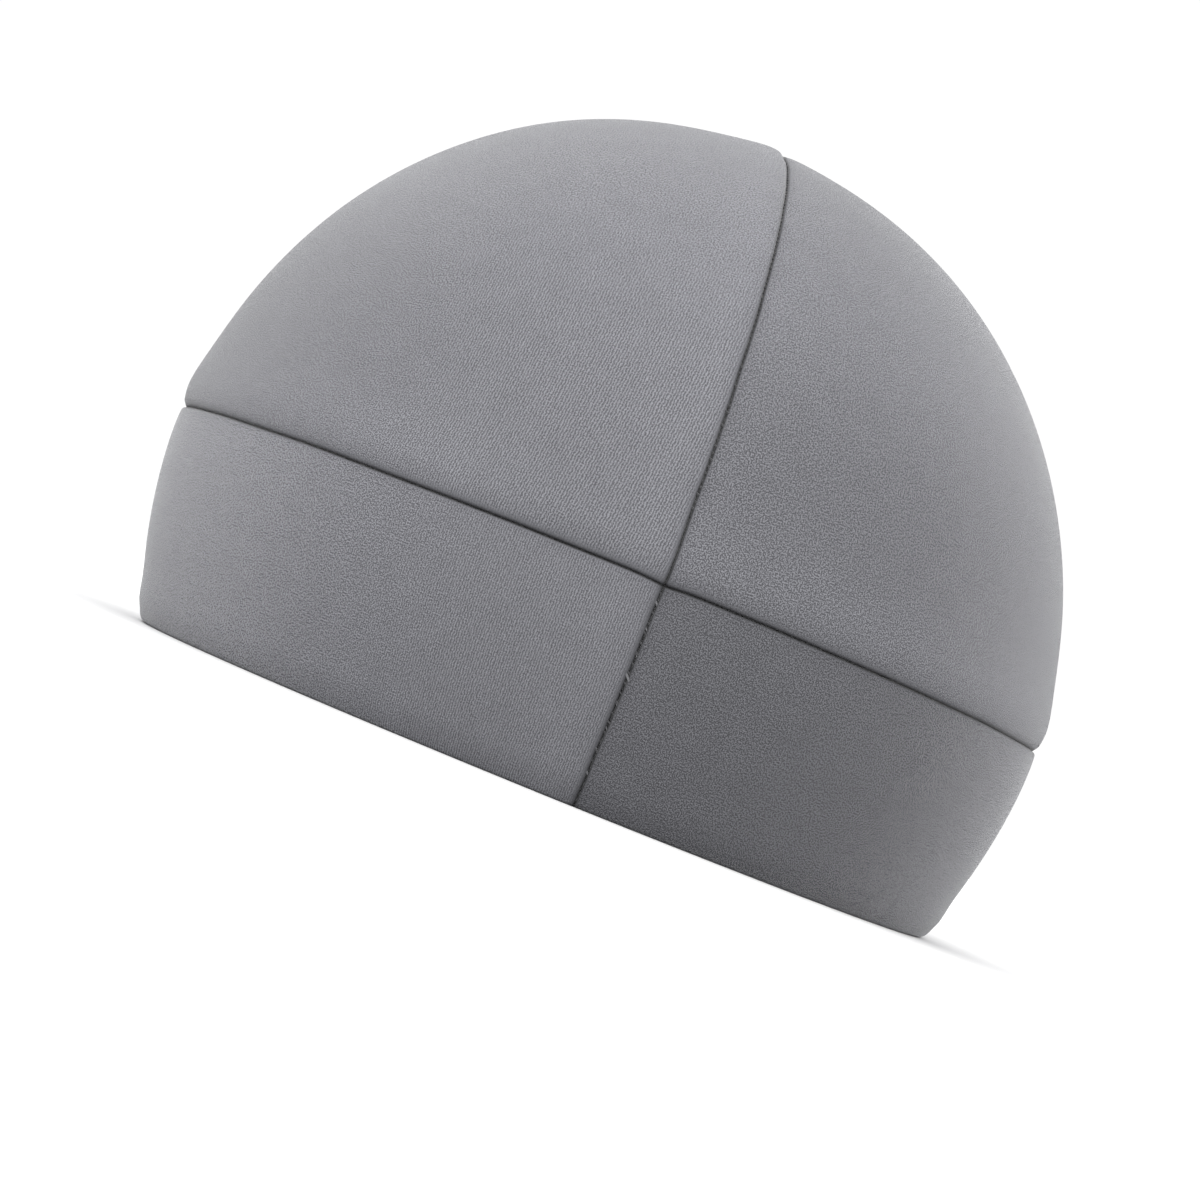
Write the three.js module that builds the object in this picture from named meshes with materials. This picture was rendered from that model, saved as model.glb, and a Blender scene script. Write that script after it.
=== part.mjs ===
// Close-fitting jersey skull cap: two crown halves, a one-piece band with a turned-up hem,
// and the overlock edging that binds the raw edge of the hem inside.
// Millimetres, +Z up, +Y towards the forehead, the centre seams in the Y-Z plane.
import * as THREE from "three";
import { mergeVertices } from "three/addons/utils/BufferGeometryUtils.js";

// Head form: two half-ellipses at each height, widest above the rim
const HALF_WIDTH = 81;
const BACK_DEPTH = 82.1;
const FRONT_DEPTH = 107;
const HEIGHT = 117.7;
const WIDEST_HEIGHT = 35.2;
const CROWN_RISE_POWER = 1.93;
const CROWN_ROUND_POWER = 2.08;
const SECTION_POWER = 1.97;
// Size of the rim as a share of the widest section
const RIM_SHARE = { side: 0.916, back: 0.924, front: 1.006 };
// Sideways and forward shift of the form for each millimetre of height
const LEAN = { side: -0.018, front: -0.033 };

// Cloth and sewing
const CLOTH = 1.1;
const SEAM_GAP = 0.3;
const BAND_HEIGHT = 37.35;
const HEM_HEIGHT = 17.5;
const HEM_SLIT = 0.3;
const HEM_SLIT_FOOT = 2.2;
const EDGING_WIDTH = 6;
const EDGING_THICKNESS = 1;
const EDGING_BEVEL = 0.4;
const CLOTH_ROUGHNESS = 0.92;
const THREAD_ROUGHNESS = 0.8;
const GREYS = { crownRight: 0x7d7e84, crownLeft: 0x86878d, band: 0x7f8086, edging: 0x8f9096 };

// Relief beside the seams: a narrow valley, then cloth that puffs up and fades away
const VALLEY = { depth: 0.8, reach: 1.5 };
const CROWN_PUFF = { height: 0.5, peak: 5 };
const LEFT_PUFF = { height: 0.7, peak: 3 };
const RIGHT_PUFF = { height: 0.25, peak: 3 };
const HEM_ROLL = { height: 0.5, centre: 3.5, reach: 3 };

// Mesh density
const SEAM_COLUMNS = [0, 1.2, 3, 6, 12];
const WIDE_COLUMNS = 21;
const CROWN_LOW_ROWS = [SEAM_GAP / 2, 1.2, 3, 6, 11, 18];
const CROWN_HIGH_ROWS = 11;
const APEX_ROW_TURN = THREE.MathUtils.degToRad(88.4);
const BAND_LEVELS = [5.5, 11, HEM_HEIGHT, 25, 31, 34.5, 36.2, BAND_HEIGHT - SEAM_GAP / 2];

const QUARTER_TURN = Math.PI / 2;
const SLOPE_STEP = 0.01;

// Share of the widest section that the form keeps at a height
function sectionShare(height, rimShare) {
  if (height < WIDEST_HEIGHT) {
    const below = 1 - Math.max(height, 0) / WIDEST_HEIGHT;
    return 1 - (1 - rimShare) * below ** 2;
  }
  const rise = Math.min((height - WIDEST_HEIGHT) / (HEIGHT - WIDEST_HEIGHT), 1);
  return (1 - rise ** CROWN_RISE_POWER) ** (1 / CROWN_ROUND_POWER);
}

// Sine or cosine bent a little, so that the sections are a touch leaner than ellipses
function rounded(part) {
  return Math.sign(part) * Math.abs(part) ** (2 / SECTION_POWER);
}

// Point of the smooth head form; angle 0 is the right side, a quarter turn is the front
function formPoint(angle, height) {
  const front = Math.sin(angle) > 0;
  const depth = front ? FRONT_DEPTH : BACK_DEPTH;
  const depthShare = sectionShare(height, front ? RIM_SHARE.front : RIM_SHARE.back);
  const across = HALF_WIDTH * sectionShare(height, RIM_SHARE.side) * rounded(Math.cos(angle));
  const along = depth * depthShare * rounded(Math.sin(angle));
  return new THREE.Vector3(across + LEAN.side * height, along + LEAN.front * height, height);
}

// Outward direction of the form, taken from its slopes round and up
function formNormal(angle, height) {
  if (height > HEIGHT - SLOPE_STEP) {
    return new THREE.Vector3(0, 0, 1);
  }
  const round = formPoint(angle + SLOPE_STEP, height).sub(formPoint(angle - SLOPE_STEP, height));
  const upward = formPoint(angle, height + SLOPE_STEP).sub(formPoint(angle, height - SLOPE_STEP));
  return round.cross(upward).normalize();
}

// Depth of the stitched valley at a distance from its seam
function valley(distance) {
  return VALLEY.depth * Math.exp(-((distance / VALLEY.reach) ** 2));
}

// Height of puffed cloth at a distance from a seam
function puff(distance, shape) {
  const part = distance / shape.peak;
  return shape.height * part * Math.exp(1 - part);
}

// Distance outward from the smooth form to the cloth's face, from the seams alone
function seamRelief(angle, fromBandSeam, fromCentreSeam) {
  const sidePuff = Math.cos(angle) < 0 ? LEFT_PUFF : RIGHT_PUFF;
  return puff(fromCentreSeam, sidePuff) - Math.max(valley(fromBandSeam), valley(fromCentreSeam));
}

// Distance of a form point from the middle plane, where the centre seams run
function middleDistance(point) {
  return Math.abs(point.x - LEAN.side * point.z);
}

// Point of the crown cloth, inset from its outer face
function crownPoint(angle, height, inset) {
  const point = formPoint(angle, height);
  const aboveSeam = height - BAND_HEIGHT;
  const lift = seamRelief(angle, aboveSeam, middleDistance(point)) + puff(aboveSeam, CROWN_PUFF);
  return point.addScaledVector(formNormal(angle, height), lift - inset);
}

// Point of the band cloth, inset level from its outer face; its only upright seam is at the back
function bandPoint(angle, height, inset) {
  const point = formPoint(angle, height);
  const fromBackSeam = Math.sin(angle) < 0 ? middleDistance(point) : FRONT_DEPTH;
  const roll = HEM_ROLL.height * Math.exp(-(((height - HEM_ROLL.centre) / HEM_ROLL.reach) ** 2));
  const lift = seamRelief(angle, BAND_HEIGHT - height, fromBackSeam) + roll;
  const level = formNormal(angle, height).setZ(0).normalize();
  return point.addScaledVector(level, lift - inset);
}

// Angles from the back seam to the front over the right side, closer together beside the seam
function halfTurnAngles() {
  const nearSeam = SEAM_COLUMNS.map((distance) => distance / HALF_WIDTH - QUARTER_TURN);
  const start = nearSeam.pop();
  const wide = [];
  for (let column = 0; column <= WIDE_COLUMNS; column += 1) {
    wide.push(start * (1 - (2 * column) / WIDE_COLUMNS));
  }
  const nearFront = nearSeam.map((angle) => -angle).reverse();
  return [...nearSeam, ...wide, ...nearFront];
}

// Closed surface from corner points and triangles, without the ones that shrink to a line
function closedSurface(points, triangles) {
  const geometry = new THREE.BufferGeometry().setFromPoints(points);
  geometry.setIndex(triangles);
  const merged = mergeVertices(geometry);
  const corners = merged.getIndex().array;
  const kept = [];
  for (let start = 0; start < corners.length; start += 3) {
    const [a, b, c] = corners.slice(start, start + 3);
    if (a !== b && b !== c && c !== a) {
      kept.push(a, b, c);
    }
  }
  merged.setIndex(kept);
  merged.computeVertexNormals();
  return merged;
}

// Flat cap over an end section, whose triangles turn with the section's order or against it
function endCap(section, firstCorner, turnsWithSection) {
  const outline = section.map((point) => new THREE.Vector2(point.y, point.z));
  const keepsOrder = THREE.ShapeUtils.isClockWise(outline) !== turnsWithSection;
  const triangles = THREE.ShapeUtils.triangulateShape(outline, []);
  return triangles.flatMap(([a, b, c]) => {
    const corners = keepsOrder ? [a, b, c] : [a, c, b];
    return corners.map((corner) => firstCorner + corner);
  });
}

// Solid swept through sections round the head; an open sweep gets a flat cap at each end
function sweptSolid(sections, isRing) {
  const size = sections[0].length;
  const triangles = [];
  const spans = isRing ? sections.length : sections.length - 1;
  for (let span = 0; span < spans; span += 1) {
    const here = span * size;
    const next = ((span + 1) % sections.length) * size;
    for (let corner = 0; corner < size; corner += 1) {
      const after = (corner + 1) % size;
      triangles.push(here + corner, here + after, next + after);
      triangles.push(here + corner, next + after, next + corner);
    }
  }
  if (!isRing) {
    const last = sections.length - 1;
    triangles.push(...endCap(sections[0], 0, false));
    triangles.push(...endCap(sections[last], last * size, true));
  }
  return closedSurface(sections.flat(), triangles);
}

// Heights of the crown's rows, from the band seam to the apex
function crownHeights() {
  const low = CROWN_LOW_ROWS.map((above) => BAND_HEIGHT + above);
  const span = HEIGHT - WIDEST_HEIGHT;
  const lowRise = (low.at(-1) - WIDEST_HEIGHT) / span;
  const lowTurn = Math.asin(lowRise ** (CROWN_RISE_POWER / 2));
  const turns = [];
  for (let row = 1; row < CROWN_HIGH_ROWS; row += 1) {
    turns.push(THREE.MathUtils.lerp(lowTurn, QUARTER_TURN, row / CROWN_HIGH_ROWS));
  }
  turns.push(APEX_ROW_TURN);
  const high = turns.map((turn) => WIDEST_HEIGHT + span * Math.sin(turn) ** (2 / CROWN_RISE_POWER));
  return [...low, ...high, HEIGHT];
}

// One half of the crown: down its outer face, then up its inner face, at each angle
function crownHalf(angles) {
  const up = crownHeights();
  const down = [...up].reverse();
  const sections = angles.map((angle) => [
    ...down.map((height) => crownPoint(angle, height, 0)),
    ...up.map((height) => crownPoint(angle, height, CLOTH)),
  ]);
  return sweptSolid(sections, false);
}

// Section of the band: outer wall, rounded fold, facing inside, and the slit behind the facing
function bandSection() {
  const facing = 2 * CLOTH + HEM_SLIT;
  const facingLevels = BAND_LEVELS.filter((level) => level <= HEM_HEIGHT);
  const fold = [
    { inset: 0, height: 3 },
    { inset: 0.1, height: 1.2 },
    { inset: 0.35, height: 0.35 },
    { inset: 0.8, height: 0 },
    { inset: facing - 0.5, height: 0 },
    { inset: facing - 0.1, height: 0.5 },
    { inset: facing, height: 1.5 },
  ];
  return [
    ...[...BAND_LEVELS].reverse().map((height) => ({ inset: 0, height })),
    ...fold,
    ...facingLevels.map((height) => ({ inset: facing, height })),
    ...[...facingLevels].reverse().map((height) => ({ inset: CLOTH + HEM_SLIT, height })),
    { inset: CLOTH + HEM_SLIT, height: HEM_SLIT_FOOT },
    { inset: CLOTH, height: HEM_SLIT_FOOT },
    ...BAND_LEVELS.map((height) => ({ inset: CLOTH, height })),
  ];
}

// Band strip with its two ends facing each other across the back seam
function bandStrip(angles) {
  const profile = bandSection();
  const sections = angles.map((angle) =>
    profile.map(({ inset, height }) => bandPoint(angle, height, inset)),
  );
  sections[0].forEach((point) => (point.x += SEAM_GAP / 2));
  sections.at(-1).forEach((point) => (point.x -= SEAM_GAP / 2));
  return sweptSolid(sections, false);
}

// Ring of overlock edging on the facing, level with the facing's raw edge
function edgingRing(angles) {
  const back = 2 * CLOTH + HEM_SLIT + SEAM_GAP;
  const face = back + EDGING_THICKNESS;
  const low = HEM_HEIGHT - EDGING_WIDTH;
  const profile = [
    { inset: back, height: HEM_HEIGHT },
    { inset: back, height: low },
    { inset: face - EDGING_BEVEL, height: low },
    { inset: face, height: low + EDGING_BEVEL },
    { inset: face, height: HEM_HEIGHT - EDGING_BEVEL },
    { inset: face - EDGING_BEVEL, height: HEM_HEIGHT },
  ];
  const sections = angles.map((angle) =>
    profile.map(({ inset, height }) => bandPoint(angle, height, inset)),
  );
  return sweptSolid(sections, true);
}

// Matt material of one colour
function matt(color, roughness) {
  return new THREE.MeshStandardMaterial({ color, roughness, metalness: 0 });
}

// Named piece, shifted sideways by half of the centre seam where it is one half of the crown
function piece(name, geometry, material, shift = 0) {
  const mesh = new THREE.Mesh(geometry, material);
  mesh.name = name;
  mesh.position.x = shift;
  return mesh;
}

// The whole cap, standing on z = 0 under the middle of its box
function skullCap() {
  const rightAngles = halfTurnAngles();
  const leftAngles = rightAngles.map((angle) => angle + Math.PI);
  const roundAngles = [...rightAngles, ...leftAngles.slice(1)];
  const crownRight = matt(GREYS.crownRight, CLOTH_ROUGHNESS);
  const crownLeft = matt(GREYS.crownLeft, CLOTH_ROUGHNESS);
  const bandCloth = matt(GREYS.band, CLOTH_ROUGHNESS);
  const thread = matt(GREYS.edging, THREAD_ROUGHNESS);
  const cap = new THREE.Group();
  cap.add(piece("crown_right", crownHalf(rightAngles), crownRight, SEAM_GAP / 2));
  cap.add(piece("crown_left", crownHalf(leftAngles), crownLeft, -SEAM_GAP / 2));
  cap.add(piece("band", bandStrip(roundAngles), bandCloth));
  cap.add(piece("overlock_edging", edgingRing(roundAngles.slice(1)), thread));
  const box = new THREE.Box3().setFromObject(cap);
  const middle = box.getCenter(new THREE.Vector3());
  cap.position.set(-middle.x, -middle.y, -box.min.z);
  return cap;
}

export default skullCap();
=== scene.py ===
"""Looks of the grey jersey skull cap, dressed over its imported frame.

Lengths are metres, +Z is up and +Y points to the forehead, so the back seams face -Y.
"""

import logging
import math
from collections.abc import Callable
from dataclasses import dataclass, field
from enum import Enum

import bpy
import numpy as np
from mathutils import Matrix, Vector, noise


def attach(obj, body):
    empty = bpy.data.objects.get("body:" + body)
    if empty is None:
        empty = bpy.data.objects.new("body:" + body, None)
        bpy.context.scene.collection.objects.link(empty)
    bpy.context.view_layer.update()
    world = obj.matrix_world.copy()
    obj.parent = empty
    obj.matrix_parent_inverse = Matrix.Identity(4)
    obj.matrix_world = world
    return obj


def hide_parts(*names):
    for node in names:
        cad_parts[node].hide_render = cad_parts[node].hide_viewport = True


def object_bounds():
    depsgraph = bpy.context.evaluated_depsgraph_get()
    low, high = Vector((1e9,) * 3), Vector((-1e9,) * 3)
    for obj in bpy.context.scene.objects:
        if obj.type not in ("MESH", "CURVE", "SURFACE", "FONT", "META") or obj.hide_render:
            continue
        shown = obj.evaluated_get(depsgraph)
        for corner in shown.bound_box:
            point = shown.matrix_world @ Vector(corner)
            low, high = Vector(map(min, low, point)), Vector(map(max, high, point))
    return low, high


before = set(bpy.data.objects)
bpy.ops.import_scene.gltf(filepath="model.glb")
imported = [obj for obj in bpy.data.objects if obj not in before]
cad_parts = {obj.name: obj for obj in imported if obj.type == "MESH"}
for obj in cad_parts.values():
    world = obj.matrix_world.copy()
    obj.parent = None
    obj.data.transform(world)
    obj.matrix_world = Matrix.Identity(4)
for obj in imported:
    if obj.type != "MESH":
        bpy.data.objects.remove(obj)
CAD_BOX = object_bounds()

MM = 0.001
QUARTER = math.pi / 2
SHARP_ANGLE = math.radians(50)
TINY = 1e-9
LOG = logging.getLogger("skull_cap")


# Choices and small sums


class Side(Enum):
    """Half of the cap, named as the photo shows it; the value is the sign of X."""

    RIGHT = 1
    LEFT = -1


class WaveLayer(Enum):
    """Uses of the noise; the value keeps each in a place of its own."""

    BROAD = 3.0
    CREASE = 7.0
    WANDER = 11.0
    RISE = 17.0


def smooth_step(value: np.ndarray, low: float, high: float) -> np.ndarray:
    """0 below low and 1 above high, with an even bend between them."""
    part = np.clip((value - low) / (high - low), 0, 1)
    return part * part * (3 - 2 * part)


def bell(value: np.ndarray, reach: float) -> np.ndarray:
    """1 at a value of 0, and almost nothing at twice the reach."""
    return np.exp(-((value / reach) ** 2))


def unit(vectors: np.ndarray) -> np.ndarray:
    """Vectors of length 1."""
    return vectors / np.linalg.norm(vectors, axis=-1, keepdims=True)


@dataclass(frozen=True)
class Fade:
    """A change that starts at low and reaches its full share at high."""

    low: float
    high: float
    share: float = 1.0

    def done(self, value: np.ndarray) -> np.ndarray:
        """Part of the change that is made at a value."""
        return self.share * smooth_step(value, self.low, self.high)

    def left(self, value: np.ndarray) -> np.ndarray:
        """What the change leaves of 1."""
        return 1 - self.done(value)


NO_FADE = Fade(0, 1, share=0)


# Form of the cap


@dataclass(frozen=True)
class HeadForm:
    """Smooth form of the worn cap: two half-ellipses at each height.

    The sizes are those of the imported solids, and centre is where the form's axis meets the rim.
    """

    half_width: float = 81 * MM
    back_depth: float = 82.1 * MM
    front_depth: float = 107 * MM
    height: float = 117.7 * MM
    widest: float = 35.2 * MM
    rise_power: float = 1.93
    round_power: float = 2.08
    section_power: float = 1.97
    rim_side: float = 0.916
    rim_back: float = 0.924
    rim_front: float = 1.006
    lean_side: float = -0.018
    lean_front: float = -0.033
    centre: tuple[float, float] = (0.0, 0.0)

    def share(self, height: np.ndarray, rim_share: np.ndarray | float) -> np.ndarray:
        """Share of the widest section that the form keeps.

        Args:
            height: heights above the rim.
            rim_share: the share at the rim itself.

        Returns:
            The share at each height, 0 at the apex.
        """
        below = 1 - np.clip(height / self.widest, 0, 1)
        rise = np.clip((height - self.widest) / (self.height - self.widest), 0, 1)
        upper = (1 - rise**self.rise_power) ** (1 / self.round_power)
        return np.where(height < self.widest, 1 - (1 - rim_share) * below**2, upper)

    def height_at(self, share: np.ndarray) -> np.ndarray:
        """Height on the crown where the section has shrunk to a share of the widest one."""
        rise = (1 - share**self.round_power) ** (1 / self.rise_power)
        return self.widest + (self.height - self.widest) * rise

    def half_width_at(self, height: np.ndarray) -> np.ndarray:
        """Half of the form's width at each height."""
        return self.half_width * self.share(height, self.rim_side)

    def points(self, angle: np.ndarray, height: np.ndarray) -> np.ndarray:
        """Points of the form.

        Args:
            angle: direction seen from above, 0 at the right side and a quarter turn at the front.
            height: height above the rim, of a shape that broadcasts with angle.

        Returns:
            Points in the row frame, with the coordinates last.
        """
        angle, height = np.broadcast_arrays(angle, height)
        front = np.sin(angle) > 0
        depth = np.where(front, self.front_depth, self.back_depth)
        depth = depth * self.share(height, np.where(front, self.rim_front, self.rim_back))
        x = self.half_width_at(height) * self._lean_round(np.cos(angle))
        y = depth * self._lean_round(np.sin(angle))
        x = x + self.lean_side * height + self.centre[0]
        y = y + self.lean_front * height + self.centre[1]
        return np.stack([x, y, height], axis=-1)

    def _lean_round(self, part: np.ndarray) -> np.ndarray:
        """Sine or cosine bent so that the sections are a touch leaner than ellipses."""
        return np.sign(part) * np.abs(part) ** (2 / self.section_power)

    def normals(self, angle: np.ndarray, height: np.ndarray) -> np.ndarray:
        """Outward directions of the form, straight up at the apex.

        Args:
            angle: as for points.
            height: as for points.

        Returns:
            Unit vectors, with the coordinates last.
        """
        turn, climb = 1e-4, 0.01 * MM
        round_ = self.points(angle + turn, height) - self.points(angle - turn, height)
        upward = self.points(angle, height + climb) - self.points(angle, height - climb)
        normal = np.cross(round_, upward)
        normal[np.broadcast_to(height, normal.shape[:-1]) > self.height - climb] = (0, 0, 1)
        return unit(normal)

    def level_normals(self, angle: np.ndarray, height: np.ndarray) -> np.ndarray:
        """Outward directions of the form, laid level."""
        return unit(self.normals(angle, height) * np.array([1, 1, 0]))

    def from_middle(self, points: np.ndarray) -> np.ndarray:
        """Signed distance of points from the middle plane, which the centre seams follow."""
        return points[..., 0] - self.centre[0] - self.lean_side * points[..., 2]


@dataclass(frozen=True)
class SeamRoll:
    """How cloth turns down into a seam: a soft puff, a pressed slope and a quarter round.

    The cloth is painted darker by shade in the seam itself and by soft_shade further out, both
    painted shade, and painted paler by glow, a painted highlight on the puff. press and beyond
    count in widths of the slope, which is wider than the radius: between the two of press the knit
    turns from flat to open, and beyond holds the columns outside the slope, up to reach.
    """

    radius: float
    puff: float
    peak: float = 3 * MM
    focus: float = 1.0
    slope_width: float = 0.5 * MM
    slope_drop: float = 0.0
    slope_bend: float = 1.3
    shade: float = 0.5
    shade_reach: float = 0.2 * MM
    soft_shade: float = 0.1
    soft_spread: float = 5.0
    glow: float = 0.045
    press: tuple[float, float] = (0.3, 1.5)
    round_steps: int = 6
    slope_steps: int = 5
    beyond: tuple[float, ...] = (1.25, 1.6, 2.1, 2.8, 3.7, 5, 6.8, 9.5)
    reach: float = 13 * MM

    def turn_down(self, distance: np.ndarray) -> np.ndarray:
        """Drop of the face beside the seam.

        Args:
            distance: distances from the seam.

        Returns:
            The drop at each distance, as a negative number.
        """
        inside = np.clip(1 - distance / self.radius, 0, 1)
        slope = np.clip(1 - distance / self.slope_width, 0, 1)
        return self.radius * (np.sqrt(1 - inside**2) - 1) - self.slope_drop * slope**self.slope_bend

    def swell(self, distance: np.ndarray) -> np.ndarray:
        """Height of the puffed cloth at a distance from the seam."""
        part = np.clip(distance / self.peak, 0, None)
        return self.puff * (part * np.exp(1 - part)) ** self.focus

    def tone(self, distance: np.ndarray) -> np.ndarray:
        """Lightness beside the seam: painted shade where threads and folded edges shade the cloth,
        and a painted highlight on the puff.

        Args:
            distance: distances from the seam.

        Returns:
            The share of the cloth's own lightness at each distance.
        """
        # Painted shade in the seam and a little further out, and a painted highlight on the puff.
        near = self.shade * bell(distance, self.shade_reach)
        soft = self.soft_shade * bell(distance, self.shade_reach * self.soft_spread)
        return 1 - near - soft + self.glow * self.swell(distance) / self.puff

    def pressed(self, distance: np.ndarray) -> np.ndarray:
        """How flat the knit is pressed: 1 in the seam and 0 beyond the slope."""
        low, high = (share * self.slope_width for share in self.press)
        return 1 - smooth_step(distance, low, high)

    def steps(self) -> np.ndarray:
        """Columns beside the seam, close together on the quarter round and on the slope.

        Returns:
            Their distances from the seam, from 0 outwards.
        """
        round_ = self.radius * (1 - np.cos(np.linspace(0, QUARTER, self.round_steps)))
        slope = np.linspace(self.radius, self.slope_width, self.slope_steps)[1:]
        beyond = self.slope_width * np.array(self.beyond)
        return np.concatenate([round_, slope, beyond[beyond < self.reach]])


@dataclass(frozen=True)
class Sewing:
    """Sizes that the sewn pieces share."""

    band_height: float = 37.35 * MM
    hem_height: float = 17.5 * MM
    cloth: float = 1.1 * MM
    hem_slit: float = 0.3 * MM
    slack: float = 0.06 * MM
    ridge: float = 0.8 * MM
    ridge_reach: float = 1.5 * MM
    pucker_pitch: float = 2.3 * MM
    # Each roll paints shade in and beside its seam by shade and soft_shade, and a highlight on its
    # puff by glow.
    crown_edge: SeamRoll = SeamRoll(
        radius=0.5 * MM,
        puff=0.7 * MM,
        peak=5 * MM,
        focus=2.2,
        slope_width=1.3 * MM,
        slope_drop=0.75 * MM,
        shade=0.55,
        shade_reach=0.45 * MM,
        soft_shade=0.13,
        glow=0.06,
    )
    band_edge: SeamRoll = SeamRoll(
        radius=0.35 * MM, puff=0.12 * MM, peak=4 * MM, slope_drop=0.1 * MM, shade=0.6
    )
    left_edge: SeamRoll = SeamRoll(
        radius=0.35 * MM, puff=0.7 * MM, slope_width=MM, slope_drop=0.4 * MM, shade_reach=0.45 * MM
    )
    right_edge: SeamRoll = SeamRoll(
        radius=0.25 * MM, puff=0.2 * MM, slope_drop=0.05 * MM, shade=0.6
    )
    strip_edge: SeamRoll = SeamRoll(
        radius=0.4 * MM,
        puff=0.65 * MM,
        focus=1.2,
        slope_width=1.25 * MM,
        slope_drop=0.6 * MM,
        shade_reach=0.85 * MM,
    )

    @property
    def facing(self) -> float:
        """Inset of the turned-up hem's inner face."""
        return 2 * self.cloth + self.hem_slit

    @property
    def crown_foot(self) -> float:
        """Height of the crown's lower edge."""
        return self.band_height + self.slack

    @property
    def band_top(self) -> float:
        """Height of the band's upper edge."""
        return self.band_height - self.slack

    def side_edge(self, side: Side) -> SeamRoll:
        """Roll of a panel's edge at the centre seams."""
        return self.left_edge if side is Side.LEFT else self.right_edge

    def inner_ridge(self, distance: np.ndarray) -> np.ndarray:
        """Inward swelling of the sewn edges on the inside, as a negative number."""
        return -self.ridge * bell(distance, self.ridge_reach)


@dataclass(frozen=True)
class ClothWaves:
    """Small unevenness of stretched jersey and of its seams, the same on every run.

    crease_run shortens the creases' path across the cap, so that they cross the seam.
    """

    swell: float = 0.12 * MM
    swell_length: float = 26 * MM
    pucker: float = 0.05 * MM
    pucker_fade: float = 1.8 * MM
    wander: float = 0.1 * MM
    wander_length: float = 7 * MM
    wander_fade: float = 5 * MM
    crease: float = 0.16 * MM
    crease_length: float = 4.5 * MM
    crease_fade: float = 9 * MM
    crease_run: tuple[float, float, float] = (0.25, 1, 1)
    sag: float = 0.3 * MM
    sag_width: float = 3.5 * MM
    sag_fade: float = 9 * MM
    rise: float = 0.14 * MM
    rise_length: float = 20 * MM

    def sample(self, points: np.ndarray, length: float, layer: WaveLayer) -> np.ndarray:
        """Smooth noise at points.

        Args:
            points: points with the coordinates last.
            length: typical distance between two waves.
            layer: the use of the noise.

        Returns:
            Values between about -1 and 1, in the points' own shape.
        """
        flat = points.reshape(-1, 3) / length
        values = [noise.noise(Vector((x, y, z + layer.value))) for x, y, z in flat]
        return np.array(values).reshape(points.shape[:-1])

    def lift(self, points: np.ndarray, from_seam: np.ndarray, pitch: float) -> np.ndarray:
        """Outward shift of the cloth: broad waves, creases, and puckers along the seam.

        Args:
            points: points of the smooth form.
            from_seam: distance of each point from the centre seam.
            pitch: distance between two puckers.

        Returns:
            The shift at each point.
        """
        along = np.hypot(points[..., 1], points[..., 2])
        ripple = np.sin(2 * math.pi * along / pitch) * np.exp(-from_seam / self.pucker_fade)
        fade = np.exp(-from_seam / self.crease_fade)
        across = points * np.array(self.crease_run)
        crease = self.sample(across, self.crease_length, WaveLayer.CREASE) * fade
        broad = self.sample(points, self.swell_length, WaveLayer.BROAD)
        return self.swell * broad + self.pucker * ripple + self.crease * crease

    def drift(
        self, points: np.ndarray, from_middle: np.ndarray, from_band: np.ndarray
    ) -> np.ndarray:
        """Upward shift of the band seam and of the cloth near it: it sags where the seams cross.

        Args:
            points: points of the smooth form.
            from_middle: distance of each point from the middle plane.
            from_band: distance of each point from the band seam.

        Returns:
            The shift at each point.
        """
        line = points.copy()
        line[..., 2] = 0
        dip = self.sag * bell(from_middle, self.sag_width) * (points[..., 1] < 0)
        uneven = self.rise * self.sample(line, self.rise_length, WaveLayer.RISE)
        return (uneven - dip) * bell(from_band, self.sag_fade)

    def wander_of_seam(self, points: np.ndarray, from_seam: np.ndarray) -> np.ndarray:
        """Sideways wander of the centre seam and of the cloth beside it.

        Args:
            points: points of the smooth form.
            from_seam: distance of each point from the centre seam.

        Returns:
            The shift along X at each point.
        """
        line = points.copy()
        line[..., 0] = 0
        uneven = self.sample(line, self.wander_length, WaveLayer.WANDER)
        return self.wander * uneven * bell(from_seam, self.wander_fade)


# Meshes


@dataclass
class ClothGrid:
    """Two faces of a piece of cloth as grids of rows and columns, ready to be closed.

    outer and inner hold points and weave the place on the flat cloth. Of the attributes, tone is
    the lightness, which holds painted shade and painted highlights, wales how clearly the wales
    show, and pressed how flat the knit is.
    """

    outer: np.ndarray
    inner: np.ndarray
    weave: np.ndarray
    attributes: dict[str, np.ndarray]

    def mesh_object(self, name: str) -> bpy.types.Object:
        """Closed mesh of a panel whose last row is the apex.

        Args:
            name: name of the object and its mesh.

        Returns:
            The new object, with its UV map "weave" and its attributes.
        """
        rows, columns = self.outer.shape[:2]
        outer = np.arange(rows * columns).reshape(rows, columns)
        outer[-1] = outer[-1, 0]
        inner = outer + rows * columns
        foot = np.stack([inner[0], outer[0]])
        head = np.stack([outer[-1], inner[-1]])
        start = np.stack([inner[:, 0], outer[:, 0]], axis=1)
        end = np.stack([outer[:, -1], inner[:, -1]], axis=1)
        quads = [sheet_quads(outer), sheet_quads(inner)[:, ::-1]]
        quads += [sheet_quads(part) for part in (foot, head, start, end)]
        cloth = Cloth(
            np.concatenate([self.outer.reshape(-1, 3), self.inner.reshape(-1, 3)]),
            np.tile(self.weave.reshape(-1, 2), (2, 1)),
            {label: np.tile(values.ravel(), 2) for label, values in self.attributes.items()},
        )
        is_inner = np.arange(sum(map(len, quads))) // len(quads[0]) == 1
        return cloth.mesh_object(name, np.concatenate(quads), is_inner)


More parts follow.
